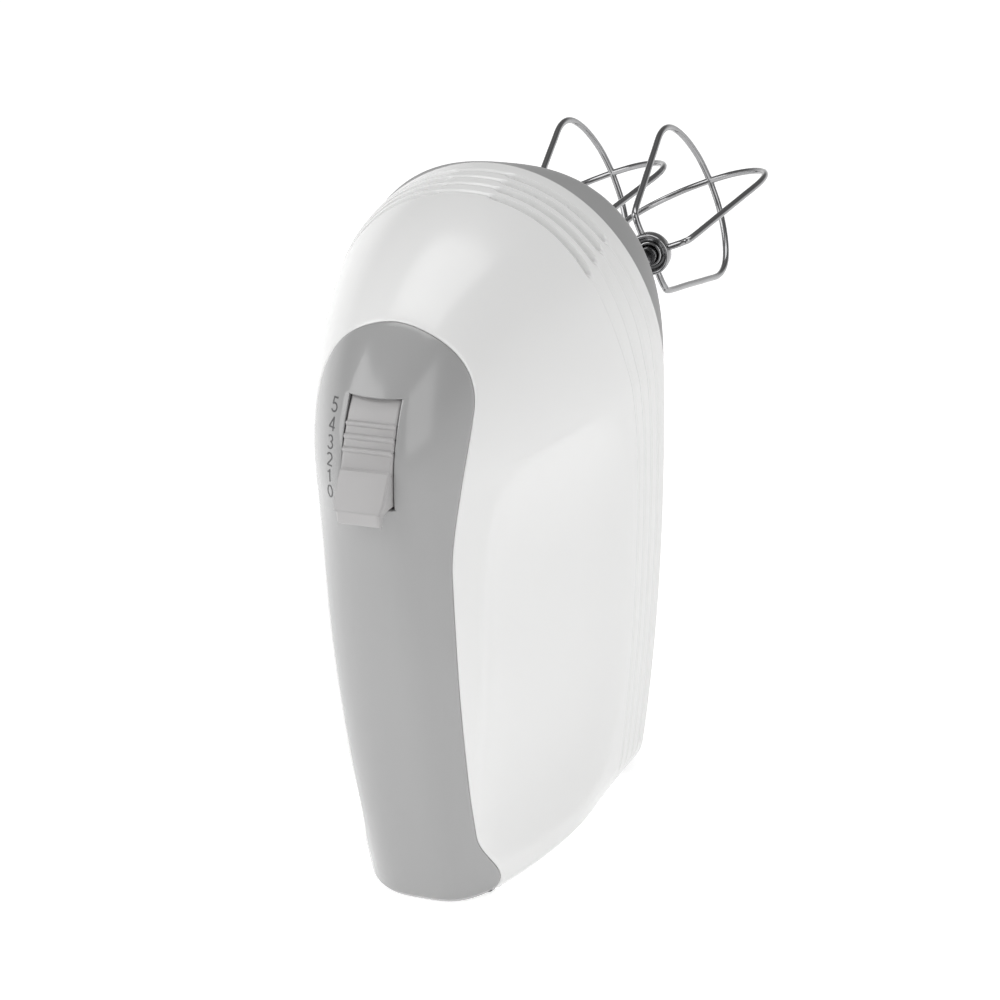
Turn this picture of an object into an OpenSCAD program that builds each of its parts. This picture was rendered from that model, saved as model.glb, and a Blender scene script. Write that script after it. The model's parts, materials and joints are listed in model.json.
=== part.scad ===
// Hand mixer standing on its heel, nose up.
// Origin: on the floor, in the middle of the joint between the housing and the base.
// +Z runs from the heel to the nose, +Y is the beater side and -Y is the grip side.

/* [Housing] */
// Height from heel to nose
body_h = 200; // [190:1:210]
// Width across the widest part
body_w = 103; // [98:1:110]
// Width at the heel
heel_w = 83; // [80:1:88]
// Depth from the joint to the crown of the grip
grip_depth = 106; // [104:1:110]
// Depth from the joint to the grip at the heel
heel_depth = 83.5; // [80:0.5:88]
// Height of the crown of the grip, where the nose dome starts
dome_z = 140; // [139:1:141]
// Depth of the base that closes the working side
base_depth = 17; // [16:1:18]
// Wall thickness of the mouldings
wall = 2.2; // [2:0.1:2.6]
// Depth of the finger recess in each side
recess_depth = 6; // [2:0.5:6.5]

/* [Grip cover and switch] */
// Half width of the cover at its round top
cover_half = 22.7; // [21.7:0.5:23.2]
// Half width of the cover at its waist
waist_half = 17.7; // [17.2:0.1:18.2]
// Half width of the cover at its flared foot
foot_half = 21; // [20:0.2:21.6]
// Height of the top of the cover
cover_top = 181.5; // [180:0.5:183]
// Width of the slot for the speed switch
slot_w = 15.2; // [15:0.1:16]
// Height of the lower edge of the slot
slot_bottom = 138.2; // [138:0.1:138.4]
// Height of the upper edge of the slot
slot_top = 166.5; // [164:0.5:168]
// Radius of the switch pad about its pivot
pad_r = 39.6; // [39.4:0.1:39.6]

/* [Drive] */
// Distance between the two beaters
beater_gap = 36; // [36:0.5:36]
// Height of the beater axes
beater_z = 138; // [138:1:138]
// Distance of the motor shaft from the joint
motor_depth = 30; // [30:1:30]
// Teeth on each gear wheel
gear_teeth = 24; // [24:1:24]
// Pitch radius of each gear wheel
gear_r = 13.6; // [13.6:0.1:13.6]
// Radius of the motor shaft
shaft_r = 2.5; // [2.5:0.1:3]
// Radial clearance of every running fit
running_gap = 0.05; // [0.03:0.01:0.08]

/* [Beaters] */
// Radius of a beater shank
shank_r = 3; // [2.8:0.1:3]
// Radius of the beater wire
wire_r = 1; // [0.8:0.1:1.2]
// Angle of the first wire loop from the X axis
loop_turn = 22.5; // [22.5:0.5:22.5]

/* [Hidden] */
$fn = 48;

tiny = 0.001;
half_top = body_w / 2;
half_heel = heel_w / 2;
spindle_x = beater_gap / 2;
motor_y = -motor_depth;
worm_r = spindle_x - gear_r;
tooth_pitch = 2 * PI * gear_r / gear_teeth;
worm_lead = 2 * tooth_pitch;
gear_twist = worm_lead / (2 * PI * worm_r) / gear_r * 180 / PI;   // degrees of twist per mm of gear width
gear_y = [motor_y - 4, motor_y + 4];
pivot = [0, -67, 137];
columns = 36;

// ---- Rules for the housing surface -------------------------------------------------------------

function blend(a, b, u) = a + (b - a) * u * u * (3 - 2 * u);
function fall(z, power) = 1 - pow(max(0, 1 - z / dome_z), power);
function half_width(z) = half_heel + (half_top - half_heel) * fall(z, 2.2);
function front_depth(z) = heel_depth + (grip_depth - heel_depth) * fall(z, 1.3);

// Each level is a squared-off oval whose sides close in towards the grip: [at the heel, at the crown].
taper_range = [0.44, 0.455];
power_range = [3.5, 2.6];
function rise(z) = pow(min(1, z / dome_z), 2.1);
function side_taper(z) = blend(taper_range[0], taper_range[1], rise(z));
function side_power(z) = blend(power_range[0], power_range[1], rise(z));

// The finger recess is a soft-edged oblong dish in each side.
function recess(y, z) =
    let (u = (y + 52) / 34, v = (z - 74) / 66, edge = max(0, 1 - pow(u, 4) - pow(v, 4)))
    recess_depth * pow(edge, 1.5);

// The rear corners of the heel are rounded off where the housing meets the base.
heel_round = 14;
function heel_corner(z, d) =
    z >= heel_round ? 0
    : (heel_round - sqrt(pow(heel_round, 2) - pow(heel_round - z, 2))) * pow(max(0, 1 - d / 0.55), 2);

// A small edge break keeps the heel from ending in a knife edge.
edge_break = 1;
function heel_edge(z) = edge_break * max(0, 1 - z / 1.5);

function level_point(z, a, inset) =
    let (power = 2 / side_power(z), d = pow(abs(sin(a)), power), away = inset + heel_edge(z),
         y = -(front_depth(z) - away) * d,
         x = (half_width(z) - away) * (1 - side_taper(z) * d) * pow(abs(cos(a)), power)
             - heel_corner(z, d) * abs(cos(a)) - recess(y, z) * min(1, abs(cos(a)) * 2))
    [max(0, x) * sign(cos(a)), y, z];

// Above the crown the surface turns about the line x at height dome_z.
function nose_point(tilt, a, inset) =
    let (u = pow(tilt / 90, 1.25), taper = blend(taper_range[1], 0, u), power = 2 / blend(power_range[1], 2, u),
         long = grip_depth - inset, tall = body_h - dome_z - inset,
         reach = pow(pow(cos(tilt) / long, 2.1) + pow(sin(tilt) / tall, 2.1), -1 / 2.1),
         d = pow(abs(sin(a)), power), y = -reach * d * cos(tilt),
         x = (half_top - inset) * (1 - taper * d) * pow(abs(cos(a)), power)
             - recess(y, dome_z + reach * d * sin(tilt)) * min(1, abs(cos(a)) * 2))
    [max(0, x) * sign(cos(a)), y, dome_z + reach * d * sin(tilt)];

function levels(floor_z) =
    concat([floor_z, floor_z + 1.5, floor_z + 4, floor_z + 8, floor_z + 13], [for (z = [20:10:dome_z]) z]);

function housing_rows(inset, floor_z) = concat(
    [for (z = levels(floor_z)) [for (i = [0:columns]) level_point(z, 180 * i / columns, inset)]],
    [for (tilt = [7.5:7.5:90]) [for (i = [0:columns]) nose_point(tilt, 180 * i / columns, inset)]]);

// ---- General helpers ---------------------------------------------------------------------------

function distinct(p, q, r) = norm(p - q) > tiny && norm(q - r) > tiny && norm(p - r) > tiny;

// A closed skin over rows of points; every row has the same number of points.
module skin(rows) {
    n = len(rows[0]);
    last = len(rows) - 1;
    points = [for (row = rows) for (p = row) p];
    sides = [for (i = [0:last - 1]) for (j = [0:n - 1])
        let (k = (j + 1) % n, a = i * n + j, b = i * n + k, c = (i + 1) * n + k, d = (i + 1) * n + j)
        for (f = [[a, b, c], [a, c, d]])
            if (distinct(points[f[0]], points[f[1]], points[f[2]])) f];
    first_cap = [[for (j = [n - 1:-1:0]) j]];
    last_cap = [[for (j = [0:n - 1]) last * n + j]];
    polyhedron(points, concat(sides, first_cap, last_cap), convexity = 6);
}

// A round wire along points that lie in one plane with the given normal.
module wire(path, normal, radius, sides = 8) {
    last = len(path) - 1;
    skin([for (i = [0:last])
        let (run = path[min(last, i + 1)] - path[max(0, i - 1)], along = run / norm(run),
             out = cross(along, normal))
        [for (k = [0:sides - 1]) let (a = -360 * k / sides)
            path[i] + radius * (cos(a) * normal + sin(a) * out)]]);
}

// A helical spring along +X from the origin.
module coil_spring(length, radius, thick, turns) {
    steps = turns * 10;
    skin([for (i = [0:steps])
        let (a = 36 * i, middle = [thick + (length - 2 * thick) * i / steps, radius * cos(a), radius * sin(a)],
             out = [0, cos(a), sin(a)])
        [for (k = [0:4]) let (b = 72 * k) middle + thick * (cos(b) * out + sin(b) * [1, 0, 0])]]);
}

function curve_step(p, q, r, s, u) =
    0.5 * (2 * q + (r - p) * u + (2 * p - 5 * q + 4 * r - s) * pow(u, 2) + (3 * q - p - 3 * r + s) * pow(u, 3));

// A smooth curve through hand-placed points.
function smooth_path(p, parts) =
    let (m = len(p) - 1)
    concat([for (i = [0:m - 1]) for (k = [0:parts - 1])
        curve_step(i == 0 ? 2 * p[0] - p[1] : p[i - 1], p[i], p[i + 1],
                   i == m - 1 ? 2 * p[m] - p[m - 1] : p[i + 2], k / parts)], [p[m]]);

// Hands one moulded skin over as a single mesh.
module moulded() { resize([0, 0, 0]) children(); }

module along_y(y0, y1, r, x = 0, z = 0) {
    translate([x, y0, z]) rotate([-90, 0, 0]) cylinder(h = y1 - y0, r = r);
}
module block(x, y, z) {
    translate([x[0], y[0], z[0]]) cube([x[1] - x[0], y[1] - y[0], z[1] - z[0]]);
}
module ring(h, outer, inner) {
    difference() {
        cylinder(h = h, r = outer);
        translate([0, 0, -1]) cylinder(h = h + 2, r = inner);
    }
}
module on_shaft(z) { translate([0, motor_y, z]) children(); }

// ---- Housing mouldings -------------------------------------------------------------------------

module housing_solid(inset = 0) { skin(housing_rows(inset, 0)); }
module housing_hollow() { translate([0, 0.5, 0]) skin(housing_rows(wall, wall)); }

// Outline of the grip cover seen from the grip side: round top, slim waist, flared foot.
arch = 23;
waist_z = [24, 114];
foot_z = 5;
function cover_edge(z) =
    let (from_top = cover_top - z, below_arch = cover_top - arch)
    from_top < arch ? cover_half * sqrt(max(0, 1 - pow(1 - from_top / arch, 2)))
    : z > waist_z[1] ? blend(waist_half + 1.1, cover_half, (z - waist_z[1]) / (below_arch - waist_z[1]))
    : z > waist_z[0] ? blend(waist_half, waist_half + 1.1, (z - waist_z[0]) / (waist_z[1] - waist_z[0]))
    : z > foot_z ? blend(foot_half, waist_half, (z - foot_z) / (waist_z[0] - foot_z))
    : foot_half - 1.8 * pow(1 - z / foot_z, 2);

module cover_outline(grow) {
    edge_z = concat([-2, 0, 1, 2.5, 5], [for (z = [8:3:24]) z], [for (z = [32:8:152]) z],
                    [for (k = [0:9]) cover_top - arch + arch * sin(k * 10)]);
    right = [for (z = edge_z) [cover_edge(max(0, z)) + grow, z + (z > 170 ? grow : 0)]];
    left = [for (i = [len(edge_z) - 2:-1:0]) [-right[i][0], right[i][1]]];
    translate([0, -60, 0]) rotate([90, 0, 0]) linear_extrude(height = 60) polygon(concat(right, left));
}

vent_first = 7;
vent_pitch = 5.2;
module vents() {
    for (side = [-1, 1], k = [0:3])
        translate([side * 22.5, -vent_first - vent_pitch * k, 185]) cube([28, 1.6, 44], center = true);
}

screw_places = [[40.5, 165], [-40.5, 165], [33, 16], [-33, 16]];
module body_shell() color("#f0f0f0") {
    difference() {
        moulded() union() {
            difference() {
                housing_solid();
                housing_hollow();
                cover_outline(0.05);
                vents();
            }
            intersection() {
                housing_solid(0.4);
                for (p = screw_places) along_y(-26, -tiny, 3.6, p[0], p[1]);
            }
        }
        for (p = screw_places) along_y(-12, 1, 1.4, p[0], p[1]);
    }
}

module grip_cover() color("#a5a5a5") {
    moulded() difference() {
        intersection() {
            housing_solid();
            cover_outline(-0.05);
        }
        housing_hollow();
        block([-slot_w / 2, slot_w / 2], [-130, -60], [slot_bottom, slot_top]);
        // Relief behind the slot's edges, where the switch slides under the cover.
        sector(20, pad_r + 1, slot_w + 0.6, 40, 90);
        sector(20, arc_in + 1.5, slot_w + 0.6, -45, 10);
    }
}

// Closed outline of the base in XZ, pulled in by inset. Its shoulders grow squarer away from the joint.
squareness = 0.45;
function joint_outline(inset, y) = concat(
    [for (i = [0:24]) let (a = 7.5 * i, power = 2 / (2 + squareness * min(1, max(0, y) / 10)))
        [(half_top - inset) * sign(cos(a)) * pow(abs(cos(a)), power), y,
         dome_z + (body_h - dome_z - inset) * pow(max(0, sin(a)), power)]],
    [for (z = side_levels) [-(half_width(z) - heel_corner(z, 0) - inset), y, inset + z * (1 - inset / dome_z)]],
    [for (i = [len(side_levels) - 1:-1:0]) let (z = side_levels[i])
        [half_width(z) - heel_corner(z, 0) - inset, y, inset + z * (1 - inset / dome_z)]]);
side_levels = [120, 100, 80, 60, 40, 25, 14, 9, 5, 2.5, 0.8, 0];

// Each step of the base: [share of the depth, how far it is pulled in].
base_profile = [[0, 0], [0.35, 1.4], [0.62, 2.8], [0.82, 4.2], [0.94, 6.4], [1, 10]];
module base_solid(inset, y_from, depth) {
    skin([for (s = base_profile)
        joint_outline(0.5 + inset + s[1], y_from + s[0] * depth)]);
}

gland_place = [0, 24];
module base_shell() color("#a0a0a0") {
    difference() {
        union() {
            moulded() difference() {
                base_solid(0, 0, base_depth);
                base_solid(wall, -0.5, base_depth - wall + 0.5);
            }
            for (side = [-1, 1]) along_y(base_depth - wall - 1, base_depth + 2, 9, side * spindle_x, beater_z);
            for (p = screw_places) along_y(0, base_depth - wall, 4, p[0] * 0.97, p[1]);
            along_y(base_depth - wall - 1, base_depth, 8, gland_place[0], gland_place[1]);
            for (p = frame_posts) along_y(plate_front[1], base_depth - wall, 3.6, p[0], p[1]);
        }
        for (p = frame_posts) along_y(plate_front[1] - 1, -4, 1.3, p[0], p[1]);
        for (side = [-1, 1]) along_y(-1, base_depth + 3, 6.2, side * spindle_x, beater_z);
        for (p = screw_places) {
            along_y(-1, base_depth + 1, 1.6, p[0], p[1]);
            along_y(6, base_depth + 1, 3.1, p[0], p[1]);
        }
        along_y(0, base_depth + 1, 5, gland_place[0], gland_place[1]);
    }
}

gland_bore = 3.1;
module cord_gland() color("#3a3a3a") {
    difference() {
        union() {
            along_y(base_depth - 8, base_depth + 5, 5, gland_place[0], gland_place[1]);
            along_y(base_depth, base_depth + 2, 7, gland_place[0], gland_place[1]);
            along_y(base_depth - 8, base_depth - wall - 1, 6.5, gland_place[0], gland_place[1]);
        }
        along_y(base_depth - 9, base_depth + 6, gland_bore, gland_place[0], gland_place[1]);
    }
}

module housing_screws() color("#b8b8b8") {
    for (p = screw_places) {
        along_y(-12, 6, 1.4, p[0], p[1]);
        difference() {
            along_y(6, 8, 2.9, p[0], p[1]);
            block([p[0] - 1.8, p[0] + 1.8], [7.2, 9], [p[1] - 0.4, p[1] + 0.4]);
            block([p[0] - 0.4, p[0] + 0.4], [7.2, 9], [p[1] - 1.8, p[1] + 1.8]);
        }
    }
}

// ---- Gear frame --------------------------------------------------------------------------------

plate_rear = [-42, -38];
plate_front = [-22, -18];
frame_posts = [[31, 120], [-31, 120], [31, 156], [-31, 156]];
module gear_frame() color("#d8d4c4") {
    difference() {
        union() {
            block([-33.5, 33.5], plate_rear, [118, 158]);
            block([-34.6, 34.6], plate_front, [118, 158]);
            block([-13, 13], [plate_rear[0], plate_front[1]], [112, 118]);
            block([-13, 13], [plate_rear[0], plate_front[1]], [158, 164]);
            for (side = [-1, 1])
                translate([side * 9.5, -61, 145.5]) cube([7, 38, 3], center = true);
        }
        for (side = [-1, 1]) along_y(-60, 0, 8, side * spindle_x, beater_z);
        on_shaft(100) cylinder(h = 80, r = 5);
        for (p = frame_posts) along_y(-25, -15, 1.6, p[0], p[1]);
    }
}

module spindle_bushes() color("#b08d57") {
    for (side = [-1, 1], y = [[plate_rear[0], -35.2], [-24.8, plate_front[1]]])
        difference() {
            along_y(y[0], y[1], 8, side * spindle_x, beater_z);
            along_y(y[0] - 1, y[1] + 1, 5.5 + running_gap, side * spindle_x, beater_z);
        }
}

module shaft_bushes() color("#b08d57") {
    for (z = [[112, 118], [158, 164]]) on_shaft(z[0]) ring(z[1] - z[0], 5, shaft_r + running_gap);
}

module frame_screws() color("#b8b8b8") {
    for (p = frame_posts) {
        along_y(plate_front[0], -4, 1.3, p[0], p[1]);
        along_y(plate_front[0] - 2, plate_front[0], 2.6, p[0], p[1]);
    }
}

// ---- Motor -------------------------------------------------------------------------------------

stack_z = [50, 80];
corner_screws = [for (x = [-21.6, 21.6], y = [-17.4, 17.4]) [x, motor_y + y]];
module stator_core() color("#7c8288") {
    translate([0, 0, stack_z[0]]) linear_extrude(height = stack_z[1] - stack_z[0]) difference() {
        translate([-24, motor_y - 20]) square([48, 40]);
        translate([0, motor_y]) circle(r = 15.2);
        for (x = [-18.5, 18.5]) translate([x - 3, motor_y - 9]) square([6, 18]);
        for (p = corner_screws) translate(p) circle(r = 1.6);
    }
}

// Each field coil has two heads over the stack's ends and two legs in its windows.
module field_coil(side) {
    near = min(side * 0.5, side * 8.5);
    far = min(side * 0.5, side * 18);
    for (z = [stack_z[0] - 6, stack_z[1]])
        translate([0, motor_y, z]) linear_extrude(height = 6) difference() {
            translate([-19, far]) square([38, 17.5]);
            circle(r = 15.6);
        }
    for (x = [-18.5, 18.5])
        block([x - 2.5, x + 2.5], [motor_y + near, motor_y + near + 8], [stack_z[0] - 1, stack_z[1] + 1]);
}
module field_coil_front() color("#b5651d") field_coil(-1);
module field_coil_rear() color("#b5651d") field_coil(1);

module bracket_legs(z) {
    for (p = corner_screws) block([p[0] - 2.4, p[0] + 2.4], [p[1] - 2.6, p[1] + 2.6], z);
}
module screw_holes() {
    for (p = corner_screws) translate([p[0], p[1], 0]) cylinder(h = 120, r = 1.6);
}

module motor_bracket_rear() color("#9aa0a6") {
    difference() {
        union() {
            block([-24, 24], [motor_y - 20, motor_y + 20], [20, 24]);
            bracket_legs([24, stack_z[0]]);
            on_shaft(24) cylinder(h = 5, r = 6);
        }
        on_shaft(10) cylinder(h = 30, r = shaft_r + running_gap);
        screw_holes();
    }
}

module motor_bracket_front() color("#9aa0a6") {
    difference() {
        union() {
            block([-24, 24], [motor_y - 20, motor_y + 20], [90, 93]);
            bracket_legs([stack_z[1], 90]);
            on_shaft(88) cylinder(h = 2, r = 6);
        }
        on_shaft(80) cylinder(h = 30, r = shaft_r + running_gap);
        screw_holes();
    }
}

module motor_screws() color("#b8b8b8") {
    for (p = corner_screws) translate([p[0], p[1], 0]) {
        translate([0, 0, 18]) cylinder(h = 76, r = 1.5);
        translate([0, 0, 17]) cylinder(h = 3, r = 2.4);
        translate([0, 0, 93]) cylinder(h = 2, r = 2.4, $fn = 6);
    }
}

brush_z = [36, 42];
module brush_holder(side) {
    difference() {
        block([min(side * 10, side * 26), max(side * 10, side * 26)], [motor_y - 5, motor_y + 5], [24, 44]);
        block([min(side * 9, side * 24.6), max(side * 9, side * 24.6)], [motor_y - 3, motor_y + 3], brush_z);
    }
}
module brush(side) {
    difference() {
        block([min(side * 7, side * 16), max(side * 7, side * 16)],
              [motor_y - 2.95, motor_y + 2.95], [brush_z[0] + 0.05, brush_z[1] - 0.05]);
        on_shaft(30) cylinder(h = 20, r = 8.05);
    }
}
module brush_spring(side) {
    translate([side * 16, motor_y, (brush_z[0] + brush_z[1]) / 2]) mirror([side < 0 ? 1 : 0, 0, 0])
        coil_spring(8.6, 1.9, 0.35, 6);
}
module brush_holder_left() color("#c9b37c") brush_holder(-1);
module brush_holder_right() color("#c9b37c") brush_holder(1);
module brush_left() color("#2e2e2e") brush(-1);
module brush_right() color("#2e2e2e") brush(1);
module brush_spring_left() color("#c8c8c8") brush_spring(-1);
module brush_spring_right() color("#c8c8c8") brush_spring(1);

module capacitor() color("#d9b23c") {
    block([-13, 13], [-64, -54], [wall, 20]);
}
module contact_board() color("#2f6b3a") {
    difference() {
        block([13, 14.6], [-80, -58], [126, 147]);
        translate([10, -62, 145.5]) rotate([0, 90, 0]) cylinder(h = 6, r = 1);
    }
}

// ---- Rotor -------------------------------------------------------------------------------------

module motor_shaft() color("#c4c8cc") { on_shaft(18) cylinder(h = 148, r = shaft_r); }

module armature_core() color("#6e7479") {
    on_shaft(52) linear_extrude(height = 26) difference() {
        circle(r = 14.6);
        circle(r = shaft_r);
        for (k = [0:11]) rotate(30 * k) translate([7, -1.2]) square([9, 2.4]);
    }
}

module armature_windings() color("#b5651d") {
    for (z = [46, 78]) on_shaft(z) rotate_extrude() translate([shaft_r, 0]) square([10.5, 6]);
    for (k = [0:11]) on_shaft(52) rotate(30 * k) translate([7.2, -1.1, 0]) cube([6, 2.2, 26]);
}

module commutator() color("#b87333") {
    on_shaft(34) difference() {
        ring(10, 8, shaft_r);
        for (k = [0:11]) rotate(30 * k) translate([6.6, -0.25, -1]) cube([3, 0.5, 12]);
    }
}

module cooling_fan() color("#e8e8e8") {
    on_shaft(97) {
        ring(9, 6, shaft_r);
        difference() {
            for (k = [0:8]) rotate(40 * k) translate([13.4, 0, 4.5]) rotate([35, 0, 0])
                cube([17, 1.4, 9], center = true);
            translate([0, 0, -2]) cylinder(h = 14, r = 5.5);
        }
    }
}

worm_z = [123, 153];
thread_r = worm_r + 0.75;
root_r = worm_r - 1;
module thread_section() {
    // Two lobes, one for each start of the thread.
    polygon([for (start = [0, 180]) for (q = [[-58, root_r], [-24, thread_r], [24, thread_r], [58, root_r]])
        [q[1] * cos(start + q[0]), q[1] * sin(start + q[0])]]);
}
module worm() color("#cfcfcf") {
    length = worm_z[1] - worm_z[0];
    turn = 360 / worm_lead;
    on_shaft(worm_z[0]) difference() {
        rotate(-turn * (beater_z - worm_z[0]))
            linear_extrude(height = length, twist = -turn * length, slices = 48, $fn = 16) thread_section();
        translate([0, 0, -1]) cylinder(h = length + 2, r = shaft_r);
    }
}

// ---- Gears and spindles ------------------------------------------------------------------------

tip_r = gear_r + 0.65;
gap_r = gear_r - 0.95;
module gear_section() {
    step = 360 / gear_teeth;
    polygon([for (k = [0:gear_teeth - 1])
        for (q = [[-0.29, gap_r], [-0.12, tip_r], [0.12, tip_r], [0.29, gap_r]])
            let (a = step * (k + 0.5 + q[0])) [q[1] * cos(a), q[1] * sin(a)]]);
}
module gear_wheel() {
    width = gear_y[1] - gear_y[0];
    translate([spindle_x, gear_y[0], beater_z]) rotate([-90, 0, 0]) difference() {
        rotate(-gear_twist * width / 2)
            linear_extrude(height = width, twist = -gear_twist * width, slices = 6) gear_section();
        translate([0, 0, -1]) cylinder(h = width + 2, r = 5.5);
    }
}
module gear_right() color("#e6e2d3") gear_wheel();
module gear_left() color("#e6e2d3") translate([0, motor_y, 0]) rotate(180) translate([0, -motor_y, 0]) gear_wheel();

lug = [9, 5, 2];
spindle_end = base_depth - 1.5;
module spindle(side) {
    difference() {
        along_y(plate_rear[0] + 0.5, spindle_end, 5.5, side * spindle_x, beater_z);
        along_y(plate_rear[0] - 1, spindle_end + 1, shank_r + running_gap, side * spindle_x, beater_z);
        translate([side * spindle_x, spindle_end, beater_z])
            cube([lug[0] + 0.4, 2 * (lug[1] + 1), lug[2] + 0.3], center = true);
    }
}
module spindle_left() color("#b9bdc1") spindle(-1);
module spindle_right() color("#b9bdc1") spindle(1);

// ---- Beaters -----------------------------------------------------------------------------------

collar_y = 97;
shank_start = -30;
module beater_shank(side) {
    along_y(shank_start, collar_y + 3, shank_r, side * spindle_x, beater_z);
    translate([side * spindle_x, spindle_end - lug[1] / 2, beater_z]) cube(lug, center = true);
}
module beater_shank_left() color("#c9ccd0") beater_shank(-1);
module beater_shank_right() color("#c9ccd0") beater_shank(1);

module beater_collar(side) {
    translate([side * spindle_x, collar_y, beater_z]) rotate([-90, 0, 0]) rotate_extrude()
        polygon([[shank_r, 1.6], [4.4, 1.6], [5.4, 0], [7.1, 0], [7.1, 3.6], [6, 4.6], [shank_r, 4.6]]);
}
module beater_collar_left() color("#c9ccd0") beater_collar(-1);
module beater_collar_right() color("#c9ccd0") beater_collar(1);

// One wing of the wire as distance from the axis and distance along it.
wing = [[6.4, 99.3], [12, 99.4], [15.2, 103], [19, 119], [24.5, 136], [27.2, 149], [25.5, 159], [19.5, 167],
        [10, 173], [0, 175]];
module wire_loop(side, turn) {
    half = smooth_path(wing, 4);
    out = [cos(turn), 0, sin(turn)];
    both = concat(half, [for (i = [len(half) - 2:-1:0]) [-half[i][0], half[i][1]]]);
    wire([for (p = both) [side * spindle_x, p[1], beater_z] + p[0] * out], [-sin(turn), 0, cos(turn)], wire_r);
}
module beater_wires(side) {
    wire_loop(side, loop_turn);
    wire_loop(side, loop_turn + 90);
}
module beater_wires_left() color("#c9ccd0") beater_wires(-1);
module beater_wires_right() color("#c9ccd0") beater_wires(1);

// ---- Ejector and speed switch ------------------------------------------------------------------

pin_tip = -35.5;
module eject_yoke() color("#e8e4d8") {
    difference() {
        union() {
            block([-24, 24], [-54, -50], [133, 143]);
            for (side = [-1, 1]) {
                along_y(-50, pin_tip, 2.4, side * spindle_x, beater_z);
                block([min(side * 9.5, side * 12), max(side * 9.5, side * 12)], [-72, -54], [132, 143]);
            }
        }
        translate([-20, pivot[1], pivot[2]]) rotate([0, 90, 0]) cylinder(h = 40, r = 2);
    }
}
module switch_pivot_pin() color("#c4c8cc") {
    translate([-12, pivot[1], pivot[2]]) rotate([0, 90, 0]) cylinder(h = 24, r = 2);
}
module eject_spring(side) {
    translate([side * spindle_x, -50, beater_z]) rotate([0, 0, 90]) coil_spring(8, 3.2, 0.4, 4);
}
module eject_spring_left() color("#c8c8c8") eject_spring(-1);
module eject_spring_right() color("#c8c8c8") eject_spring(1);

// A sector about the pivot, measured from -Y towards +Z.
module sector(r0, r1, width, from, to) {
    translate(pivot) rotate([90, 0, 90]) rotate(180 - to) translate([0, 0, -width / 2])
        rotate_extrude(angle = to - from) translate([r0, 0]) square([r1 - r0, width]);
}

arc_in = 34.2;
switch_w = 14.4;
lip_angles = [3, 17.3];
ridge_angles = [25.2, 30.3, 35.4];
module lip() {
    // The thumb lip stands out further towards its lower end, which has a blunt face and a hollow behind it,
    // so that it stays clear of the cover when the switch is pressed in.
    section = [for (q = [[lip_angles[1], pad_r - 1], [lip_angles[1], pad_r + 0.7], [4.2, 45.8], [-1, 45],
                         [-0.9, 43.3], [1.8, 43.1], [lip_angles[0] + 0.2, pad_r - 2]])
        [pivot[1] - q[1] * cos(q[0]), pivot[2] + q[1] * sin(q[0])]];
    translate([-switch_w / 2, 0, 0]) rotate([90, 0, 90]) linear_extrude(height = switch_w) polygon(section);
}
module speed_switch() color("#b0aeae") {
    difference() {
        union() {
            sector(arc_in, pad_r, switch_w, lip_angles[0], 52);
            sector(arc_in, arc_in + 1, switch_w, -38, lip_angles[0]);
            for (a = ridge_angles) sector(pad_r - 0.5, pad_r + 0.7, switch_w - 0.6, a - 0.8, a + 0.8);
            sector(3, arc_in + 0.5, 3, -30, 44);
            translate([-9, pivot[1], pivot[2]]) rotate([0, 90, 0]) cylinder(h = 18, r = 4);
            lip();
        }
        translate([-20, pivot[1], pivot[2]]) rotate([0, 90, 0]) cylinder(h = 40, r = 2 + running_gap);
    }
}
module switch_wiper() color("#c9a227") {
    translate([0, pivot[1], pivot[2]]) block([1.5, 12.6], [-12, -9], [-5, -3.5]);
}

body_shell();
grip_cover();
base_shell();
cord_gland();
housing_screws();
gear_frame();
spindle_bushes();
shaft_bushes();
frame_screws();
stator_core();
field_coil_front();
field_coil_rear();
motor_bracket_rear();
motor_bracket_front();
motor_screws();
brush_holder_left();
brush_holder_right();
brush_left();
brush_right();
brush_spring_left();
brush_spring_right();
capacitor();
contact_board();
motor_shaft();
armature_core();
armature_windings();
commutator();
cooling_fan();
worm();
gear_left();
spindle_left();
gear_right();
spindle_right();
beater_shank_left();
beater_collar_left();
beater_wires_left();
beater_shank_right();
beater_collar_right();
beater_wires_right();
eject_yoke();
switch_pivot_pin();
eject_spring_left();
eject_spring_right();
speed_switch();
switch_wiper();
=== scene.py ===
"""Looks of the hand mixer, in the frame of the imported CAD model.

Lengths are in millimetres until new_piece or MM turns them into metres.
"""
import json
import math

import bmesh
import bpy
import numpy as np
from mathutils import Matrix, Vector
from mathutils.geometry import tessellate_polygon


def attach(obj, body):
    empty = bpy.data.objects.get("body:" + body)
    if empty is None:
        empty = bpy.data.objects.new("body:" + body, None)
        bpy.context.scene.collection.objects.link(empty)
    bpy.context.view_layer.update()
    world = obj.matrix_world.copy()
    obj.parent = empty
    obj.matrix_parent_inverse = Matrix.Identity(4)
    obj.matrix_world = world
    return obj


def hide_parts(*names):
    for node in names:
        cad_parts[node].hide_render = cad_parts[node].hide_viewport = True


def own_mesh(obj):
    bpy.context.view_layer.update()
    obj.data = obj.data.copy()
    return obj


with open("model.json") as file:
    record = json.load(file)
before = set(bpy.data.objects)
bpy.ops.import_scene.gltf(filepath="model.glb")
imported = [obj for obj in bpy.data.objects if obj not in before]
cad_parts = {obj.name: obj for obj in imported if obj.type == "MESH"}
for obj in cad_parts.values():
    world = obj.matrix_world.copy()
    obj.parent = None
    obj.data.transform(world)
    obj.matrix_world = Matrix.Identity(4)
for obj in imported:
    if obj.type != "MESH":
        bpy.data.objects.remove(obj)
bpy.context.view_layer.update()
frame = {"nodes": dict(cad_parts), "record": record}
MM = 0.001

# ---- The housing surface, by the same rule as the CAD source ------------------------------------

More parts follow.
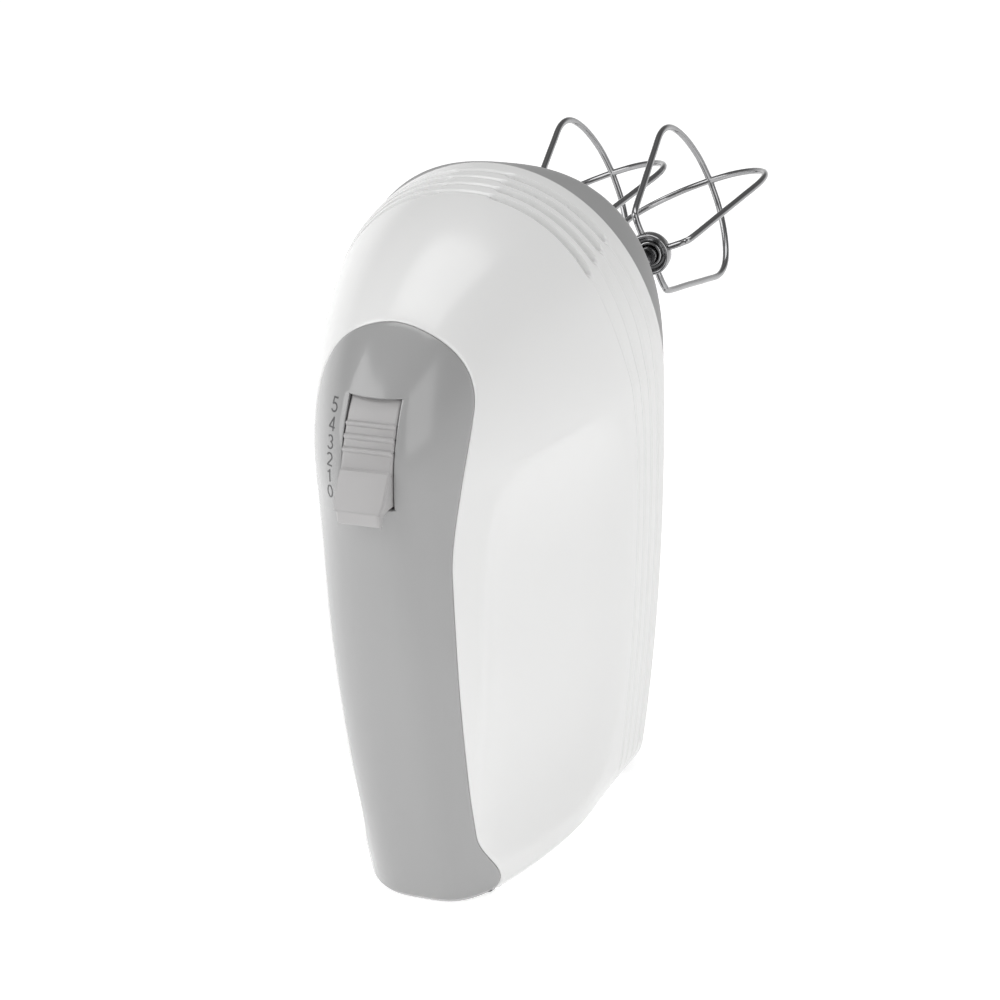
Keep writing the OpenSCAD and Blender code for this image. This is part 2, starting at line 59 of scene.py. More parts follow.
DOME, CROWN = 140.0, 60.0                # height where the crown begins, and the crown's own height
GRIP, HEEL = 106.0, 83.5                 # depth of the grip side at the crown and at the heel
HALF, HALF_HEEL = 51.5, 41.5             # half width of the rim at the crown and at the heel
TAPER, POWER = (0.44, 0.455), (3.5, 2.6)  # of a level cut, at the heel and at the crown
RISE = 2.1                               # how late the heel's section turns into the crown's
HEEL_ROUND = 14.0                        # radius of the rim's corners at the heel
EDGE_BREAK = 1.5                         # height of the small bevel round the heel
RECESS_DEPTH = 6.0                       # finger recess in each side
COVER_TOP, COVER_HALF, ARCH = 181.5, 22.7, 23.0
WAIST, FOOT = 17.7, 21.0                 # half width of the cover where it is narrow, and at the foot
WAIST_LOW, WAIST_HIGH, FOOT_TOP = 24.0, 114.0, 5.0
SPINDLE_X, BEATER_Z = 18.0, 138.0
PIVOT = np.array([-67.0, 137.0])         # y and z of the switch's pin


def mix(a, b, u):
    """From a to b, level at both ends, as u goes from 0 to 1."""
    return a + (b - a) * u * u * (3 - 2 * u)


def heel_corner(z, d):
    """Width taken off by the rounded corner of the heel, which fades out towards the grip."""
    down = np.clip(HEEL_ROUND - z, 0, HEEL_ROUND)
    return (HEEL_ROUND - np.sqrt(HEEL_ROUND**2 - down**2)) * np.clip(1 - d / 0.55, 0, 1) ** 2


def recess(y, z):
    u, v = (y + 52) / 34, (z - 74) / 66
    return RECESS_DEPTH * np.clip(1 - u**4 - v**4, 0, 1) ** 1.5


def grown(at_heel, at_crown, z, bend):
    """A length that grows from the heel to the crown, less the bevel at the heel."""
    share = 1 - np.clip(1 - z / DOME, 0, 1) ** bend
    return at_heel + (at_crown - at_heel) * share - np.clip(1 - z / EDGE_BREAK, 0, 1)


def depth_at(z):
    return grown(HEEL, GRIP, z, 1.3)


def width_at(z):
    return grown(HALF_HEEL, HALF, z, 2.2)


def power_at(z):
    return mix(*POWER, np.clip(z / DOME, 0, 1) ** RISE)


def half_x(y, z):
    """Half width of the housing at depth y and height z, 0 outside its side outline."""
    y, z = np.broadcast_arrays(np.asarray(y, float), np.asarray(z, float))
    low = z <= DOME
    tilt = np.arctan2(np.maximum(z - DOME, 0), np.maximum(-y, 1e-9))
    lean = (tilt / (math.pi / 2)) ** 1.25
    taper = np.where(low, mix(*TAPER, np.clip(z / DOME, 0, 1) ** RISE), mix(TAPER[1], 0.0, lean))
    power = np.where(low, power_at(z), mix(POWER[1], 2.0, lean))
    reach = ((np.cos(tilt) / GRIP) ** 2.1 + (np.sin(tilt) / CROWN) ** 2.1) ** (-1 / 2.1)
    d = np.where(low, -y / depth_at(z), np.hypot(y, z - DOME) / reach)
    d = np.clip(d, 0, 1)
    left = 1 - d**power
    x = (np.where(low, width_at(z), HALF) * (1 - taper * d) * left ** (1 / power)
         - heel_corner(z, d) * np.sqrt(left) - recess(y, z) * np.minimum(1, 2 * np.sqrt(left)))
    return np.where(d >= 1, 0, np.maximum(x, 0))


def bisect(inside, low, high, steps=40):
    """Largest value between low and high for which inside() still holds, for whole arrays."""
    low, high = np.array(low, float), np.array(high, float)
    for _ in range(steps):
        middle = (low + high) / 2
        ok = inside(middle)
        low, high = np.where(ok, middle, low), np.where(ok, high, middle)
    return (low + high) / 2


def front_y(x, z):
    """Depth of the grip side's surface at x and z."""
    x, z = np.broadcast_arrays(np.abs(np.asarray(x, float)), np.asarray(z, float))
    near = np.where(z > DOME, 30.0, 58.0)
    return -bisect(lambda q: half_x(-q, z) > x, near, np.full(x.shape, 107.0))


def on_front(x, z, sink=0.0):
    """Points of the grip side at x and z, sunk along the normal there."""
    x, z = np.broadcast_arrays(np.asarray(x, float), np.asarray(z, float))
    y = front_y(x, z)
    h = 0.4                              # step of the slope measurement
    zc = np.maximum(z, h)
    gx = (front_y(x + h, zc) - front_y(x - h, zc)) / (2 * h)
    gz = (front_y(x, zc + h) - front_y(x, zc - h)) / (2 * h)
    n = np.stack([gx, -np.ones_like(gx), gz], -1)
    n /= np.linalg.norm(n, axis=-1, keepdims=True)
    return np.stack([x, y, z], -1) - np.asarray(sink)[..., None] * n


def cover_edge(z):
    """Half width of the grip cover at height z."""
    def share(low, high):
        return np.clip((z - low) / (high - low), 0, 1)

    top = COVER_TOP - z
    arch = COVER_HALF * np.sqrt(np.clip(1 - (1 - top / ARCH) ** 2, 0, 1))
    upper = mix(WAIST + 1.1, COVER_HALF, share(WAIST_HIGH, COVER_TOP - ARCH))
    waist = mix(WAIST, WAIST + 1.1, share(WAIST_LOW, WAIST_HIGH))
    foot = mix(FOOT, WAIST, share(FOOT_TOP, WAIST_LOW)) - 1.8 * np.clip(1 - z / FOOT_TOP, 0, 1) ** 2
    return np.where(top < ARCH, arch, np.where(z > WAIST_HIGH, upper, np.where(z > WAIST_LOW, waist, foot)))


# ---- Mesh helpers ------------------------------------------------------------------------------

def new_piece(name, points, faces, body, material, nodes=(), sharp=None):
    """A piece from points in millimetres that rides on a body and stands for the named CAD nodes."""
    mesh = bpy.data.meshes.new(name)
    mesh.from_pydata((np.asarray(points) * MM).tolist(), [], [list(map(int, f)) for f in faces])
    mesh.validate()
    mesh.update()
    piece = bpy.data.objects.new(name, mesh)
    bpy.context.scene.collection.objects.link(piece)
    return dress(piece, body, material, nodes, sharp)


def dress(piece, body, material, nodes=(), sharp=None):
    """Gives a piece its material and body, and hides the named CAD nodes; sharp is the angle in degrees over
    which edges stay hard.
    """
    mesh = piece.data
    mesh.shade_smooth()
    if sharp:
        mesh.set_sharp_from_angle(angle=math.radians(sharp))
    mesh.materials.clear()
    mesh.materials.append(material)
    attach(piece, body)
    if nodes:
        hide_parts(*nodes)
    return piece


def grid_faces(rows, columns, start=0, wrap=False, skip=None):
    """Quads between the points of a grid stored row by row; wrap closes each row, skip leaves cells out."""
    faces = []
    for i in range(rows - 1):
        for j in range(columns if wrap else columns - 1):
            if skip is not None and skip[i, j]:
                continue
            k = (j + 1) % columns
            a, b = start + i * columns + j, start + i * columns + k
            faces.append((a, b, b + columns, a + columns))
    return faces


def recalculated(piece):
    """The same piece with doubled points joined and its faces turned outwards."""
    work = bmesh.new()
    work.from_mesh(piece.data)
    bmesh.ops.remove_doubles(work, verts=work.verts, dist=1e-6)
    bmesh.ops.recalc_face_normals(work, faces=work.faces)
    work.to_mesh(piece.data)
    work.free()
    return piece


def lathe(profile, sides=64):
    """Points and faces of a closed profile of (radius, y) turned about the Y axis."""
    turn = np.arange(sides) * 2 * math.pi / sides
    points = np.array([[r * math.cos(t), y, r * math.sin(t)] for r, y in profile for t in turn])
    faces = grid_faces(len(profile), sides, wrap=True)
    last = (len(profile) - 1) * sides
    faces += [(last + j, last + (j + 1) % sides, (j + 1) % sides, j) for j in range(sides)]
    return points, faces


def smooth_path(p, parts):
    """A smooth curve through the points p, with each gap cut into parts."""
    p = np.asarray(p, float)
    q = np.vstack([2 * p[0] - p[1], p, 2 * p[-1] - p[-2]])
    out = []
    for i in range(len(p) - 1):
        a, b, c, d = q[i:i + 4]
        for k in range(parts):
            u = k / parts
            out.append(0.5 * (2 * b + (c - a) * u + (2 * a - 5 * b + 4 * c - d) * u**2
                              + (3 * b - a - 3 * c + d) * u**3))
    return np.array(out + [p[-1]])


# ---- Materials ---------------------------------------------------------------------------------

def finish(name, colour, rough, metal=0.0, vary=0.03, cloud=40.0, rough_vary=0.05, grain=900.0, bump=0.0,
           stretch=(1, 1, 1), coat=0.0, coat_rough=0.05, wear=None, specular=0.5):
    """A moulded, painted or metal surface.

    Colour and roughness drift slowly, by the shares vary and rough_vary, over clouds of the given frequency.
    A fine grain stands in the bump, whose height is in millimetres. wear is the colour of worn spots.
    Roughness must stay on one side of 0.27 in the large pieces, because the denoiser treats the sides apart.
    """
    m = bpy.data.materials.new(name)
    m.use_nodes = True
    tree = m.node_tree
    new, link = tree.nodes.new, tree.links.new
    shader = tree.nodes["Principled BSDF"]
    shader.inputs["Metallic"].default_value = metal
    shader.inputs["Coat Weight"].default_value = coat
    shader.inputs["Coat Roughness"].default_value = coat_rough
    shader.inputs["Specular IOR Level"].default_value = specular
    place = new("ShaderNodeTexCoord")
    scaled = new("ShaderNodeMapping")
    scaled.inputs["Scale"].default_value = stretch
    link(place.outputs["Object"], scaled.inputs["Vector"])

    def noise(scale, detail=3.0):
        n = new("ShaderNodeTexNoise")
        n.inputs["Scale"].default_value = scale
        n.inputs["Detail"].default_value = detail
        link(scaled.outputs["Vector"], n.inputs["Vector"])
        return n.outputs["Fac"]

    drift = noise(cloud)
    ramp = new("ShaderNodeValToRGB")
    ramp.color_ramp.elements[0].position = 0.3
    ramp.color_ramp.elements[1].position = 0.7
    ramp.color_ramp.elements[0].color = [min(1, c * (1 - vary)) for c in colour] + [1]
    ramp.color_ramp.elements[1].color = [min(1, c * (1 + vary)) for c in colour] + [1]
    link(drift, ramp.inputs["Fac"])
    top = ramp.outputs["Color"]
    if wear:
        spots = new("ShaderNodeValToRGB")
        spots.color_ramp.elements[0].position = 0.62
        spots.color_ramp.elements[1].position = 0.75
        link(noise(cloud * 6, 6), spots.inputs["Fac"])
        blended = new("ShaderNodeMixRGB")
        link(spots.outputs["Color"], blended.inputs["Fac"])
        link(top, blended.inputs[1])
        blended.inputs[2].default_value = list(wear) + [1]
        top = blended.outputs["Color"]
    link(top, shader.inputs["Base Color"])
    spread = new("ShaderNodeMapRange")
    spread.inputs["To Min"].default_value = max(0.02, rough - rough_vary)
    spread.inputs["To Max"].default_value = min(1.0, rough + rough_vary)
    link(noise(cloud * 4), spread.inputs["Value"])
    link(spread.outputs["Result"], shader.inputs["Roughness"])
    if bump:
        relief = new("ShaderNodeBump")
        relief.inputs["Strength"].default_value = 1.0
        relief.inputs["Distance"].default_value = bump * MM
        link(noise(grain, 4), relief.inputs["Height"])
        link(relief.outputs["Normal"], shader.inputs["Normal"])
    return m


MATERIALS = {
    "white_shell": finish("white_shell", (0.77, 0.77, 0.765), 0.20, vary=0.006, cloud=14, rough_vary=0.03,
                          grain=420, bump=0.004),
    "grey_cover": finish("grey_cover", (0.335, 0.335, 0.335), 0.22, vary=0.012, cloud=20, rough_vary=0.03,
                         grain=500, bump=0.006, coat=0.3, coat_rough=0.14),
    "grey_base": finish("grey_base", (0.30, 0.30, 0.30), 0.52, vary=0.02, cloud=30, rough_vary=0.05,
                        grain=1400, bump=0.02),
    "switch_grey": finish("switch_grey", (0.39, 0.383, 0.383), 0.34, vary=0.02, cloud=60, rough_vary=0.05,
                          grain=1200, bump=0.01, coat=0.15),
    "print_grey": finish("print_grey", (0.085, 0.085, 0.087), 0.5, vary=0.12, cloud=900, grain=3000,
                         bump=0.004),
    "beater_chrome": finish("beater_chrome", (0.33, 0.33, 0.335), 0.14, metal=1.0, vary=0.05, cloud=120,
                            rough_vary=0.05, grain=2600, bump=0.004),
    "gland_rubber": finish("gland_rubber", (0.05, 0.05, 0.052), 0.68, vary=0.12, cloud=120, grain=1800,
                           bump=0.03),
    "screw_steel": finish("screw_steel", (0.55, 0.54, 0.52), 0.34, metal=1.0, vary=0.06, cloud=300, grain=2500,
                          bump=0.01, wear=(0.30, 0.29, 0.28)),
    "frame_nylon": finish("frame_nylon", (0.74, 0.71, 0.62), 0.48, vary=0.03, cloud=40, grain=1300,
                          bump=0.015),
    "bronze": finish("bronze", (0.46, 0.30, 0.13), 0.42, metal=1.0, vary=0.14, cloud=400, grain=3200,
                     bump=0.02),
    "lamination": finish("lamination", (0.22, 0.23, 0.25), 0.45, metal=0.9, vary=0.12, cloud=60, grain=2000,
                         bump=0.05, stretch=(0.05, 0.05, 1)),
    "copper": finish("copper", (0.42, 0.14, 0.04), 0.36, metal=0.6, vary=0.2, cloud=160, grain=1400, bump=0.12,
                     stretch=(0.15, 0.15, 1), coat=0.4),
    "bracket_zinc": finish("bracket_zinc", (0.45, 0.47, 0.49), 0.5, metal=0.8, vary=0.08, cloud=90, grain=1500,
                           bump=0.03),
    "carbon": finish("carbon", (0.03, 0.03, 0.032), 0.6, vary=0.25, cloud=500, grain=3000, bump=0.02),
    "spring_steel": finish("spring_steel", (0.50, 0.50, 0.50), 0.34, metal=1.0, vary=0.08, cloud=300,
                           grain=2500, bump=0.004),
    "capacitor_case": finish("capacitor_case", (0.55, 0.34, 0.05), 0.35, vary=0.06, cloud=90, grain=800,
                             bump=0.02, coat=0.5),
    "circuit_board": finish("circuit_board", (0.02, 0.13, 0.05), 0.34, vary=0.15, cloud=200, grain=1600,
                            bump=0.02, coat=0.4),
    "shaft_steel": finish("shaft_steel", (0.52, 0.53, 0.55), 0.21, metal=1.0, vary=0.06, cloud=150, grain=2500,
                          bump=0.004, stretch=(1, 0.1, 1)),
    "fan_plastic": finish("fan_plastic", (0.70, 0.70, 0.69), 0.45, vary=0.03, cloud=50, grain=1200,
                          bump=0.015),
    "gear_nylon": finish("gear_nylon", (0.78, 0.75, 0.66), 0.36, vary=0.04, cloud=80, grain=1500, bump=0.01,
                         coat=0.5),
}
slots = {s["node"]: s["material_slot"] for s in frame["record"]["subparts"]}
for name, node in frame["nodes"].items():
    node.data.materials.clear()
    node.data.materials.append(MATERIALS[slots[name]])

# ---- White shell -------------------------------------------------------------------------------

LEVELS = np.concatenate([[0, 0.3, 0.7, 1.1, 1.5, 2.2, 3, 4, 5, 6.5, 8, 9.5, 11, 12.5, 14, 15.3, 16.6],
                         np.arange(18, 140.1, 2)])
SWEEP = np.arange(1, 91) * 1.0           # degrees about the crown, past the last level
ROWS = len(LEVELS) + len(SWEEP)


def arch_line():
    """The cover's outline from height DOME up to its top, one point for each row of the crown."""
    z = np.concatenate([np.linspace(DOME, COVER_TOP - ARCH, 60)[:-1],
                        COVER_TOP - ARCH + ARCH * np.sin(np.linspace(0, math.pi / 2, 240))])
    line = np.stack([cover_edge(z), z], -1)
    line[-1] = (0, COVER_TOP)
    run = np.concatenate([[0], np.cumsum(np.hypot(*np.diff(line, axis=0).T))])
    want = run[-1] * SWEEP / 90
    return np.stack([np.interp(want, run, line[:, 0]), np.interp(want, run, line[:, 1])], -1)


EDGE = np.vstack([np.stack([cover_edge(LEVELS), LEVELS], -1), arch_line()])
along = np.gradient(EDGE, axis=0)
along /= np.linalg.norm(along, axis=1, keepdims=True)
EDGE_IN = np.stack([-along[:, 1], along[:, 0]], -1)    # towards the middle of the cover
EDGE_IN[-1] = (0, -1)

# Columns beside the rim, counted in grooves: the four grooves lie at 1, 2, 3 and 4.
GROOVE_STEPS = [-0.5, -0.38, -0.29, -0.22, -0.16, -0.1, -0.05, 0, 0.05, 0.1, 0.16, 0.22, 0.29, 0.38]
T = np.array([0.04, 0.12, 0.22, 0.35] + [k + s for k in (1, 2, 3, 4) for s in GROOVE_STEPS] + [4.5, 4.75, 5.0])
MIDS = 46                                # columns from the last groove to the cover
SEAM = 0.9                               # width of the rounded edge on each side of the cover's outline
LINE_DEPTH, VENT_DEPTH = 0.3, 2.6
LINE_HALF = 0.2                          # half width of a fine line, in grooves
VENT_FROM, VENT_TO = 7.6, 37.4           # where the slots begin and end, from the middle of the crown
# Inset and sink of the rounded edges, from the outer face inwards.
WHITE_EDGE = ((0.5, 0.02), (0.2, 0.09), (0.04, 0.28), (0.02, 1.4))
COVER_EDGE = ((0.5, 0.02), (0.2, 0.09), (0.05, 0.28), (0.03, 1.4))
RIM_EDGE = ((2.2, 0.0), (0.45, 0.0), (0.15, -0.02), (0.03, -0.1))


def white_half():
    """Rows of points from the rim to the cover's edge, for the +X half up to the middle."""
    turn = np.concatenate([(LEVELS - DOME) * 0.955, SWEEP])
    spread = mix(0.0, 1.0, np.clip((turn + 21) / 61, 0, 1))
    heel = np.clip(turn / -133, 0, 1)
    pitch = 3.8 + 1.4 * spread - 0.5 * heel
    offset = 1.8 * spread
    y = -np.where(T[None] < 1, T[None] * (offset + pitch)[:, None], offset[:, None] + pitch[:, None] * T[None])
    n = len(LEVELS)
    strip = np.zeros((ROWS, len(T), 3))
    z = np.repeat(LEVELS[:, None], len(T), 1)
    strip[:n] = np.stack([half_x(y[:n], z), y[:n], z], -1)
    part = np.radians(SWEEP)
    way = np.stack([HALF * np.cos(part), CROWN * np.sin(part)], -1)
    way[-1, 0] = 0
    way /= np.linalg.norm(way, axis=1, keepdims=True)
    wx, wz = np.repeat(way[:, :1], len(T), 1), np.repeat(way[:, 1:], len(T), 1)
    far = bisect(lambda q: half_x(y[n:], DOME + q * wz) > q * wx,
                 np.full(wx.shape, 1.0), np.full(wx.shape, 90.0))
    strip[n:] = np.stack([far * wx, y[n:], DOME + far * wz], -1)
    # from the last groove to the cover
    target = on_front(*(EDGE - SEAM * EDGE_IN).T)
    share = np.linspace(0, 1, MIDS + 1)[1:]
    share = share * 0.75 + 0.25 * share**2
    middle = np.zeros((ROWS, MIDS, 3))
    power, deep = power_at(LEVELS), depth_at(LEVELS)

    def angle(q):
        return np.arcsin(np.clip(-q / deep, 0, 1) ** (power / 2))

    a0, a1 = angle(strip[:n, -1, 1]), angle(target[:n, 1])
    a = a0[:, None] + (a1 - a0)[:, None] * share[None]
    ym = -deep[:, None] * np.sin(a) ** (2 / power[:, None])
    zm = np.repeat(LEVELS[:, None], MIDS, 1)
    middle[:n] = np.stack([half_x(ym, zm), ym, zm], -1)
    eye = np.array([0, -20, DOME])
    s, e = strip[n:, -1] - eye, target[n:] - eye
    s /= np.linalg.norm(s, axis=1, keepdims=True)
    e /= np.linalg.norm(e, axis=1, keepdims=True)
    turned = np.arccos(np.clip((s * e).sum(1), -1, 1))[:, None, None]
    f = share[None, :, None]
    ray = (np.sin((1 - f) * turned) * s[:, None] + np.sin(f * turned) * e[:, None]) / np.sin(turned)
    hit = bisect(lambda q: half_x(eye[1] + q * ray[..., 1], eye[2] + q * ray[..., 2]) > q * ray[..., 0],
                 np.full(ray.shape[:2], 5.0), np.full(ray.shape[:2], 140.0))
    middle[n:] = eye + hit[..., None] * ray
    middle[:, -1] = target
    body = np.concatenate([strip, middle], 1)
    body[-1, :, 0] = 0
    # grooves: deep air slots beside the crown's middle, fine lines everywhere else
    du, dv = np.gradient(body, axis=0), np.gradient(body, axis=1)
    du[-1] = (-1, 0, 0)
    normal = np.cross(dv, du)
    normal /= np.linalg.norm(normal, axis=2, keepdims=True) + 1e-12
    normal *= np.sign((normal * (body - (0, -20, 100))).sum(2))[..., None]
    past = T - np.round(np.clip(T, 1, 4))
    x = strip[:, :, 0]

    def rise(q):
        return mix(0.0, 1.0, np.clip(q, 0, 1))

    slot = rise((x - VENT_FROM) / 1.4) * rise((VENT_TO - x) / 1.6) * (strip[:, :, 2] > DOME)
    louvre = rise((past + 0.2) / 0.12) * (1 - rise((past + 0.06) / 0.42))
    line = np.clip(1 - (past / LINE_HALF) ** 2, 0, 1) ** 1.5
    sink = LINE_DEPTH * line + VENT_DEPTH * slot * louvre
    sink *= rise(strip[:, :, 2] / 3)
    body[:, :len(T)] -= sink[..., None] * normal[:, :len(T)]
    # the rounded rim and the lip behind it
    rim_line = np.stack([strip[:, 0, 0], strip[:, 0, 2]], -1)
    rim_line[:n, 0] = half_x(np.zeros(n), LEVELS)
    rim_line[n:] = np.stack([HALF * np.cos(part), DOME + CROWN * np.sin(part)], -1)
    run = np.gradient(rim_line, axis=0)
    run /= np.linalg.norm(run, axis=1, keepdims=True)
    inward = np.stack([-run[:, 1], run[:, 0]], -1)
    inward[-1] = (0, -1)
    rim = []
    for inset, back in RIM_EDGE:
        q = rim_line + inset * inward
        rim.append(np.stack([np.maximum(q[:, 0], 0), np.full(ROWS, back), np.maximum(q[:, 1], 0)], -1))
    # the turned-in edge along the cover
    edges = [on_front(*(EDGE - out * EDGE_IN).T, sink=np.full(ROWS, down))
             for out, down in WHITE_EDGE]
    whole = np.concatenate([np.stack(rim, 1), body, np.stack(edges, 1)], 1)
    whole[-1, :, 0] = 0
    whole[0, :, 2] = 0
    return whole


half = white_half()
mirror = np.array([-1, 1, 1])
white = np.concatenate([half, half[:-1][::-1] * mirror], 0)
rows, columns = white.shape[:2]
points = white.reshape(-1, 3)
faces = grid_faces(rows, columns)
foot = len(points)
points = np.vstack([points, [[20.5, -60, 0], [-20.5, -60, 0]]])
last = (rows - 1) * columns
faces.append(list(range(columns)) + [foot, foot + 1] + list(range(last, last + columns))[::-1])
shell = new_piece("white_housing", points, faces, "housing", MATERIALS["white_shell"],
                  ["body_shell"])
recalculated(shell)
shell.data.set_sharp_from_angle(angle=math.radians(50))

# ---- Grip cover --------------------------------------------------------------------------------

SLOT_HALF, SLOT_LOW, SLOT_HIGH = 7.6, 138.2, 166.5
SLOT_EDGE, SLOT_SINK = 0.45, 0.28        # width and depth of the rounded edge round the slot
NEAR = 1e-6


def cover_points():
    """x and z of the cover's grid, whose lines follow the slot and the outline."""
    inner = EDGE + SEAM * EDGE_IN
    extra = []
    for level in (SLOT_LOW - SLOT_EDGE, SLOT_LOW, SLOT_HIGH, SLOT_HIGH + SLOT_EDGE):
        extra.append([np.interp(level, inner[:, 1], inner[:, 0]), level])
    line = np.array(sorted(np.vstack([inner, extra]).tolist(), key=lambda q: (round(q[1], 4), -q[0])))
    keep = [0] + [i for i in range(1, len(line)) if line[i, 1] - line[i - 1, 1] > 0.02]
    line = line[keep]
    line[-1] = (0, COVER_TOP - SEAM)
    above = SLOT_HIGH + SLOT_EDGE
    gap = np.where(line[:, 1] > above,
                   np.minimum(1, line[:, 0] / np.interp(above, line[:, 1], line[:, 0])), 1.0)
    left = np.linspace(0, 1, 11)
    u = []
    for x, g in zip(line[:, 0], gap):
        a, b = min(SLOT_HALF, x * 0.99) * g, min(SLOT_HALF + SLOT_EDGE, x * 0.995) * g
        side = b + (x - b) * left
        core = np.linspace(-a, a, 13)
        u.append(np.concatenate([-side[::-1], core, side]))
    u = np.array(u)
    z = np.repeat(line[:, 1:2], u.shape[1], 1)
    z[0] = 0
    return u, z


u, z = cover_points()
at_sides = (np.abs(np.abs(u) - SLOT_HALF) < NEAR) & (z >= SLOT_LOW - NEAR) & (z <= SLOT_HIGH + NEAR)
at_ends = (np.abs(u) <= SLOT_HALF + NEAR) & ((np.abs(z - SLOT_LOW) < NEAR) | (np.abs(z - SLOT_HIGH) < NEAR))
cover = on_front(u, z, sink=np.where(at_sides | at_ends, SLOT_SINK, 0.0))
rows, columns = cover.shape[:2]
open_cell = ((u[:-1, :-1] >= -SLOT_HALF - NEAR) & (u[1:, 1:] <= SLOT_HALF + NEAR)
             & (z[:-1, :-1] >= SLOT_LOW - NEAR) & (z[1:, 1:] <= SLOT_HIGH + NEAR))
points, faces = [cover.reshape(-1, 3)], grid_faces(rows, columns, skip=open_cell)
count = rows * columns
# the rounded outer edge, right side up and left side down
strips = [on_front(*(EDGE + SEAM * EDGE_IN).T)] + [
    on_front(*(EDGE + inset * EDGE_IN).T, sink=np.full(ROWS, down)) for inset, down in COVER_EDGE]
ring = np.stack(strips, 1)
ring[0, :, 2] = 0
ring[-1, :, 0] = 0
ring = np.concatenate([ring, ring[:-1][::-1] * mirror], 0)
points.append(ring.reshape(-1, 3))
faces += grid_faces(ring.shape[0], ring.shape[1], start=count)
count += ring.shape[0] * ring.shape[1]
# walls of the slot
around = ([(SLOT_HALF, q) for q in np.linspace(SLOT_LOW, SLOT_HIGH, 20)]
          + [(q, SLOT_HIGH) for q in np.linspace(SLOT_HALF, -SLOT_HALF, 13)]
          + [(-SLOT_HALF, q) for q in np.linspace(SLOT_HIGH, SLOT_LOW, 20)]
          + [(q, SLOT_LOW) for q in np.linspace(-SLOT_HALF, SLOT_HALF, 13)])
around = np.array(around)
mouth = on_front(around[:, 0], around[:, 1], sink=np.full(len(around), SLOT_SINK))
WALL = 2.2                               # depth of the slot's wall
wall = np.stack([mouth, mouth + (0, WALL, 0)], 0)
points.append(wall.reshape(-1, 3))
faces += grid_faces(2, len(around), start=count)
count += 2 * len(around)
# the foot under the heel
base_row = np.vstack([ring[0, ::-1], cover[0][::-1][1:-1], ring[-1]])
points.append(np.vstack([base_row, [[-20.3, -60, 0], [20.3, -60, 0]]]))
faces.append(list(range(count, count + len(base_row) + 2)))
cover_piece = new_piece("grip_cover_skin", np.vstack(points), faces, "housing",
                        MATERIALS["grey_cover"], ["grip_cover"])
recalculated(cover_piece)
cover_piece.data.set_sharp_from_angle(angle=math.radians(40))

# ---- Numerals beside the slot ------------------------------------------------------------------

NUMERAL_HEIGHT, STROKE = 3.6, 0.40
NUMERAL_X, NUMERAL_Z, NUMERAL_PITCH = -11.9, 140.4, 4.46
NUMERAL_WIDEN, NUMERAL_SLANT = 1.12, 0.2
PRINT_THICK = 0.03                       # how far the print stands proud of the cover


def bow(x, y, rx, ry, start, stop, steps):
    """Points of an arc about (x, y), from one angle in degrees to another."""
    return [(x + rx * math.cos(math.radians(t)), y + ry * math.sin(math.radians(t)))
            for t in np.linspace(start, stop, steps)]


# Pen strokes of each numeral, in a box 0.6 wide and 1 high.
STROKES = [
    [bow(0.3, 0.5, 0.25, 0.46, 90, 450, 30)],
    [[(0.10, 0.74), (0.22, 0.80), (0.34, 0.96)], [(0.34, 0.99), (0.34, 0.02)]],
    [bow(0.3, 0.70, 0.25, 0.25, 160, -38, 16) + [(0.10, 0.10)], [(0.03, 0.06), (0.57, 0.06)]],
    [bow(0.27, 0.73, 0.22, 0.22, 150, -80, 16), bow(0.27, 0.29, 0.27, 0.25, 82, -150, 18)],
    [[(0.44, 0.02), (0.44, 0.98)], [(0.44, 0.96), (0.04, 0.30)], [(0.0, 0.28), (0.6, 0.28)]],
    [[(0.54, 0.94), (0.13, 0.94)], [(0.15, 0.97), (0.09, 0.50)], bow(0.28, 0.32, 0.27, 0.27, 128, -152, 18)],
]
for digit, strokes in enumerate(STROKES):
    flat, faces = [], []
    for stroke in strokes:
        pen = np.asarray(stroke) * NUMERAL_HEIGHT
        fine = pen[:-1, None] + (pen[1:] - pen[:-1])[:, None] * np.linspace(0, 1, 4)[:-1, None]
        fine = np.vstack([fine.reshape(-1, 2), pen[-1:]])
        run = np.gradient(fine, axis=0)
        run /= np.linalg.norm(run, axis=1, keepdims=True)
        side = np.stack([-run[:, 1], run[:, 0]], -1) * STROKE / 2
        start = len(flat)
        flat += [q for a, b in zip(fine + side, fine - side) for q in (a, b)]
        faces += [(start + 2 * i, start + 2 * i + 1, start + 2 * i + 3, start + 2 * i + 2)
                  for i in range(len(fine) - 1)]
    flat = np.array(flat) - (0.3 * NUMERAL_HEIGHT, 0.5 * NUMERAL_HEIGHT)
    px = flat[:, 0] * NUMERAL_WIDEN + NUMERAL_X
    pz = flat[:, 1] + NUMERAL_SLANT * flat[:, 0] + NUMERAL_Z + NUMERAL_PITCH * digit
    new_piece(f"numeral_{digit}", on_front(px, pz, sink=np.full(len(px), -PRINT_THICK)), faces, "housing",
              MATERIALS["print_grey"])

# ---- Base --------------------------------------------------------------------------------------

BASE_DEPTH = 17.0
BASE_GAP = 0.52                          # step from the housing's rim in to the base
SQUARENESS = 0.45                        # how much squarer than an ellipse the base's face is
PORT_R, SCREW_R, GLAND_R, GLAND_Z = 6.2, 3.1, 5.0, 24


